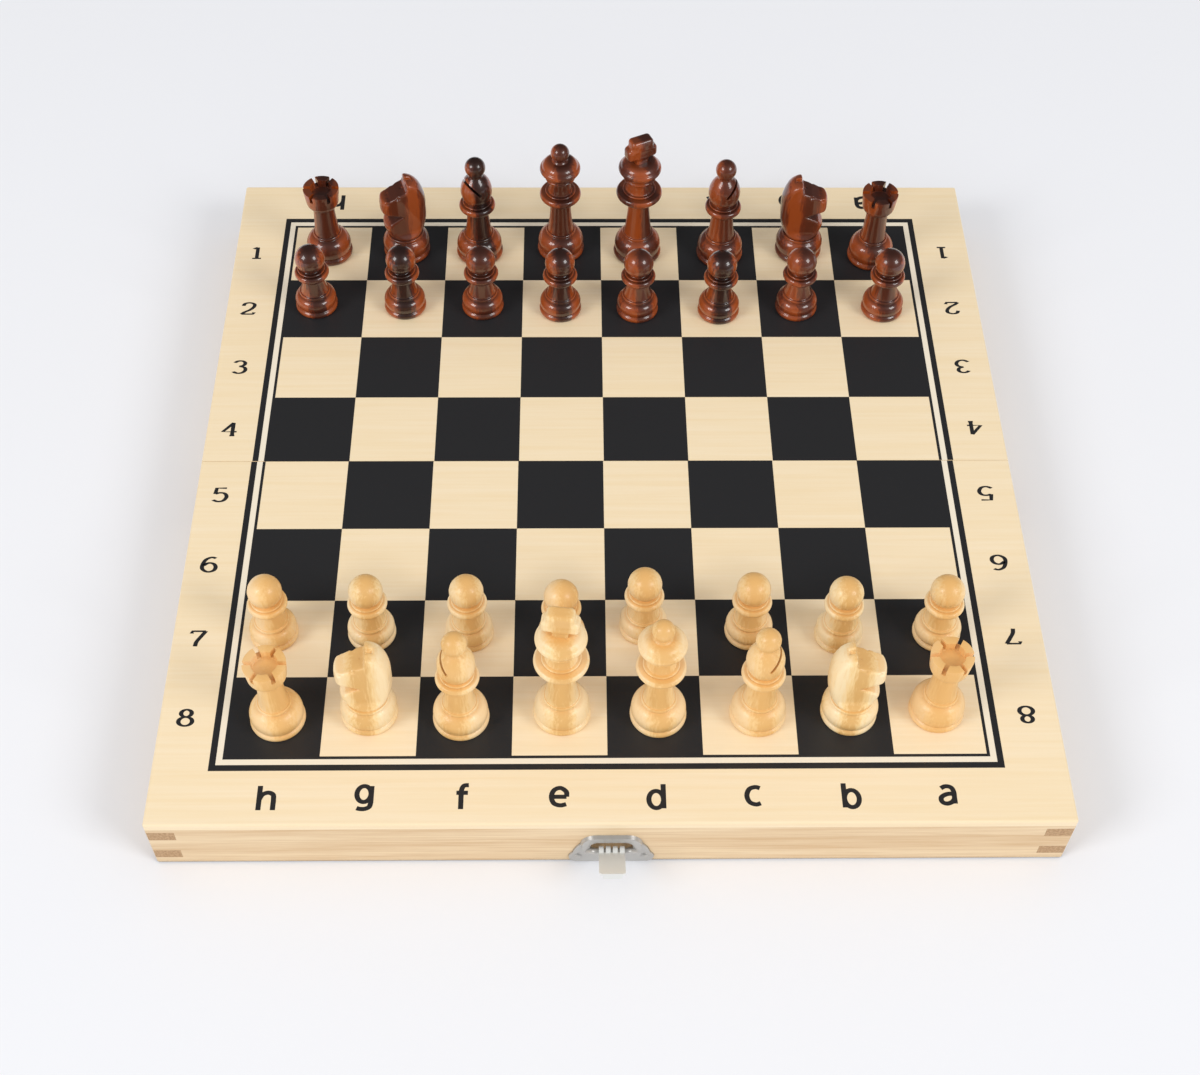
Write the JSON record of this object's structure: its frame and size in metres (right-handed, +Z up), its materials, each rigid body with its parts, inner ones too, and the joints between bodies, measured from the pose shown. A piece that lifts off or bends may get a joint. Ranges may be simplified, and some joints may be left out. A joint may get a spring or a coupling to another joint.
{
  "type": "folding chess set",
  "caption": "Wooden chess board that folds on hinges into a shallow box, shut by a small metal hasp, with its turned wooden chessmen standing in their opening places.",
  "frame": {"origin": "middle of the open board, on the fold, at the height of the rims that it stands on", "axes": "+X along the fold, from file h to file a; +Y away from the side with the clasp; +Z up"},
  "size_m": [0.29, 0.3066, 0.0832],
  "materials": {
    "board_wood": "satin clear lacquer",
    "printed_plywood": "satin, with black squares, lines and coordinates printed on it",
    "light_boxwood": "satin",
    "dark_lacquered_wood": "gloss lacquer",
    "nickel": "bright nickel plate",
    "hinge_steel": "plated steel"
  },
  "bodies": {
    "front_half": {"front_half_panel": "printed_plywood", "front_half_outer_wall": "board_wood", "front_half_meeting_wall": "board_wood", "front_half_left_wall": "board_wood", "front_half_right_wall": "board_wood", "front_hinge_leaves": "hinge_steel", "hinge_pins": "hinge_steel", "front_hinge_screws": "hinge_steel", "clasp_plate": "nickel", "clasp_nails": "nickel"},
    "rear_half": {"rear_half_panel": "printed_plywood", "rear_half_outer_wall": "board_wood", "rear_half_meeting_wall": "board_wood", "rear_half_left_wall": "board_wood", "rear_half_right_wall": "board_wood", "rear_hinge_leaves": "hinge_steel", "rear_hinge_screws": "hinge_steel", "catch_plate": "nickel", "catch_nails": "nickel"},
    "hasp": {"hasp": "nickel"},
    "light_rook_h8": {"light_rook_h8": "light_boxwood"},
    "light_knight_g8": {"light_knight_g8": "light_boxwood"},
    "light_bishop_f8": {"light_bishop_f8": "light_boxwood"},
    "light_king_e8": {"light_king_e8": "light_boxwood"},
    "light_queen_d8": {"light_queen_d8": "light_boxwood"},
    "light_bishop_c8": {"light_bishop_c8": "light_boxwood"},
    "light_knight_b8": {"light_knight_b8": "light_boxwood"},
    "light_rook_a8": {"light_rook_a8": "light_boxwood"},
    "light_pawn_h7": {"light_pawn_h7": "light_boxwood"},
    "light_pawn_g7": {"light_pawn_g7": "light_boxwood"},
    "light_pawn_f7": {"light_pawn_f7": "light_boxwood"},
    "light_pawn_e7": {"light_pawn_e7": "light_boxwood"},
    "light_pawn_d7": {"light_pawn_d7": "light_boxwood"},
    "light_pawn_c7": {"light_pawn_c7": "light_boxwood"},
    "light_pawn_b7": {"light_pawn_b7": "light_boxwood"},
    "light_pawn_a7": {"light_pawn_a7": "light_boxwood"},
    "dark_pawn_h2": {"dark_pawn_h2": "dark_lacquered_wood"},
    "dark_pawn_g2": {"dark_pawn_g2": "dark_lacquered_wood"},
    "dark_pawn_f2": {"dark_pawn_f2": "dark_lacquered_wood"},
    "dark_pawn_e2": {"dark_pawn_e2": "dark_lacquered_wood"},
    "dark_pawn_d2": {"dark_pawn_d2": "dark_lacquered_wood"},
    "dark_pawn_c2": {"dark_pawn_c2": "dark_lacquered_wood"},
    "dark_pawn_b2": {"dark_pawn_b2": "dark_lacquered_wood"},
    "dark_pawn_a2": {"dark_pawn_a2": "dark_lacquered_wood"},
    "dark_rook_h1": {"dark_rook_h1": "dark_lacquered_wood"},
    "dark_knight_g1": {"dark_knight_g1": "dark_lacquered_wood"},
    "dark_bishop_f1": {"dark_bishop_f1": "dark_lacquered_wood"},
    "dark_queen_e1": {"dark_queen_e1": "dark_lacquered_wood"},
    "dark_king_d1": {"dark_king_d1": "dark_lacquered_wood"},
    "dark_bishop_c1": {"dark_bishop_c1": "dark_lacquered_wood"},
    "dark_knight_b1": {"dark_knight_b1": "dark_lacquered_wood"},
    "dark_rook_a1": {"dark_rook_a1": "dark_lacquered_wood"}
  },
  "joints": [
    {"name": "fold", "type": "hinge", "parent": "front_half", "child": "rear_half", "pos_m": [0, 0, -0.0001], "axis": [-1, 0, 0], "range_deg": [0, 180]},
    {"name": "hasp_swing", "type": "hinge", "parent": "front_half", "child": "hasp", "pos_m": [0, -0.1474, 0.0112], "axis": [1, 0, 0], "range_deg": [-47, 123]},
    {"name": "lift_light_rook_h8", "type": "slide", "parent": "front_half", "child": "light_rook_h8", "axis": [0, 0, 1], "range_m": [0, 0.08]},
    {"name": "lift_light_knight_g8", "type": "slide", "parent": "front_half", "child": "light_knight_g8", "axis": [0, 0, 1], "range_m": [0, 0.08]},
    {"name": "lift_light_bishop_f8", "type": "slide", "parent": "front_half", "child": "light_bishop_f8", "axis": [0, 0, 1], "range_m": [0, 0.08]},
    {"name": "lift_light_king_e8", "type": "slide", "parent": "front_half", "child": "light_king_e8", "axis": [0, 0, 1], "range_m": [0, 0.08]},
    {"name": "lift_light_queen_d8", "type": "slide", "parent": "front_half", "child": "light_queen_d8", "axis": [0, 0, 1], "range_m": [0, 0.08]},
    {"name": "lift_light_bishop_c8", "type": "slide", "parent": "front_half", "child": "light_bishop_c8", "axis": [0, 0, 1], "range_m": [0, 0.08]},
    {"name": "lift_light_knight_b8", "type": "slide", "parent": "front_half", "child": "light_knight_b8", "axis": [0, 0, 1], "range_m": [0, 0.08]},
    {"name": "lift_light_rook_a8", "type": "slide", "parent": "front_half", "child": "light_rook_a8", "axis": [0, 0, 1], "range_m": [0, 0.08]},
    {"name": "lift_light_pawn_h7", "type": "slide", "parent": "front_half", "child": "light_pawn_h7", "axis": [0, 0, 1], "range_m": [0, 0.08]},
    {"name": "lift_light_pawn_g7", "type": "slide", "parent": "front_half", "child": "light_pawn_g7", "axis": [0, 0, 1], "range_m": [0, 0.08]},
    {"name": "lift_light_pawn_f7", "type": "slide", "parent": "front_half", "child": "light_pawn_f7", "axis": [0, 0, 1], "range_m": [0, 0.08]},
    {"name": "lift_light_pawn_e7", "type": "slide", "parent": "front_half", "child": "light_pawn_e7", "axis": [0, 0, 1], "range_m": [0, 0.08]},
    {"name": "lift_light_pawn_d7", "type": "slide", "parent": "front_half", "child": "light_pawn_d7", "axis": [0, 0, 1], "range_m": [0, 0.08]},
    {"name": "lift_light_pawn_c7", "type": "slide", "parent": "front_half", "child": "light_pawn_c7", "axis": [0, 0, 1], "range_m": [0, 0.08]},
    {"name": "lift_light_pawn_b7", "type": "slide", "parent": "front_half", "child": "light_pawn_b7", "axis": [0, 0, 1], "range_m": [0, 0.08]},
    {"name": "lift_light_pawn_a7", "type": "slide", "parent": "front_half", "child": "light_pawn_a7", "axis": [0, 0, 1], "range_m": [0, 0.08]},
    {"name": "lift_dark_pawn_h2", "type": "slide", "parent": "rear_half", "child": "dark_pawn_h2", "axis": [0, 0, 1], "range_m": [0, 0.08]},
    {"name": "lift_dark_pawn_g2", "type": "slide", "parent": "rear_half", "child": "dark_pawn_g2", "axis": [0, 0, 1], "range_m": [0, 0.08]},
    {"name": "lift_dark_pawn_f2", "type": "slide", "parent": "rear_half", "child": "dark_pawn_f2", "axis": [0, 0, 1], "range_m": [0, 0.08]},
    {"name": "lift_dark_pawn_e2", "type": "slide", "parent": "rear_half", "child": "dark_pawn_e2", "axis": [0, 0, 1], "range_m": [0, 0.08]},
    {"name": "lift_dark_pawn_d2", "type": "slide", "parent": "rear_half", "child": "dark_pawn_d2", "axis": [0, 0, 1], "range_m": [0, 0.08]},
    {"name": "lift_dark_pawn_c2", "type": "slide", "parent": "rear_half", "child": "dark_pawn_c2", "axis": [0, 0, 1], "range_m": [0, 0.08]},
    {"name": "lift_dark_pawn_b2", "type": "slide", "parent": "rear_half", "child": "dark_pawn_b2", "axis": [0, 0, 1], "range_m": [0, 0.08]},
    {"name": "lift_dark_pawn_a2", "type": "slide", "parent": "rear_half", "child": "dark_pawn_a2", "axis": [0, 0, 1], "range_m": [0, 0.08]},
    {"name": "lift_dark_rook_h1", "type": "slide", "parent": "rear_half", "child": "dark_rook_h1", "axis": [0, 0, 1], "range_m": [0, 0.08]},
    {"name": "lift_dark_knight_g1", "type": "slide", "parent": "rear_half", "child": "dark_knight_g1", "axis": [0, 0, 1], "range_m": [0, 0.08]},
    {"name": "lift_dark_bishop_f1", "type": "slide", "parent": "rear_half", "child": "dark_bishop_f1", "axis": [0, 0, 1], "range_m": [0, 0.08]},
    {"name": "lift_dark_queen_e1", "type": "slide", "parent": "rear_half", "child": "dark_queen_e1", "axis": [0, 0, 1], "range_m": [0, 0.08]},
    {"name": "lift_dark_king_d1", "type": "slide", "parent": "rear_half", "child": "dark_king_d1", "axis": [0, 0, 1], "range_m": [0, 0.08]},
    {"name": "lift_dark_bishop_c1", "type": "slide", "parent": "rear_half", "child": "dark_bishop_c1", "axis": [0, 0, 1], "range_m": [0, 0.08]},
    {"name": "lift_dark_knight_b1", "type": "slide", "parent": "rear_half", "child": "dark_knight_b1", "axis": [0, 0, 1], "range_m": [0, 0.08]},
    {"name": "lift_dark_rook_a1", "type": "slide", "parent": "rear_half", "child": "dark_rook_a1", "axis": [0, 0, 1], "range_m": [0, 0.08]}
  ]
}
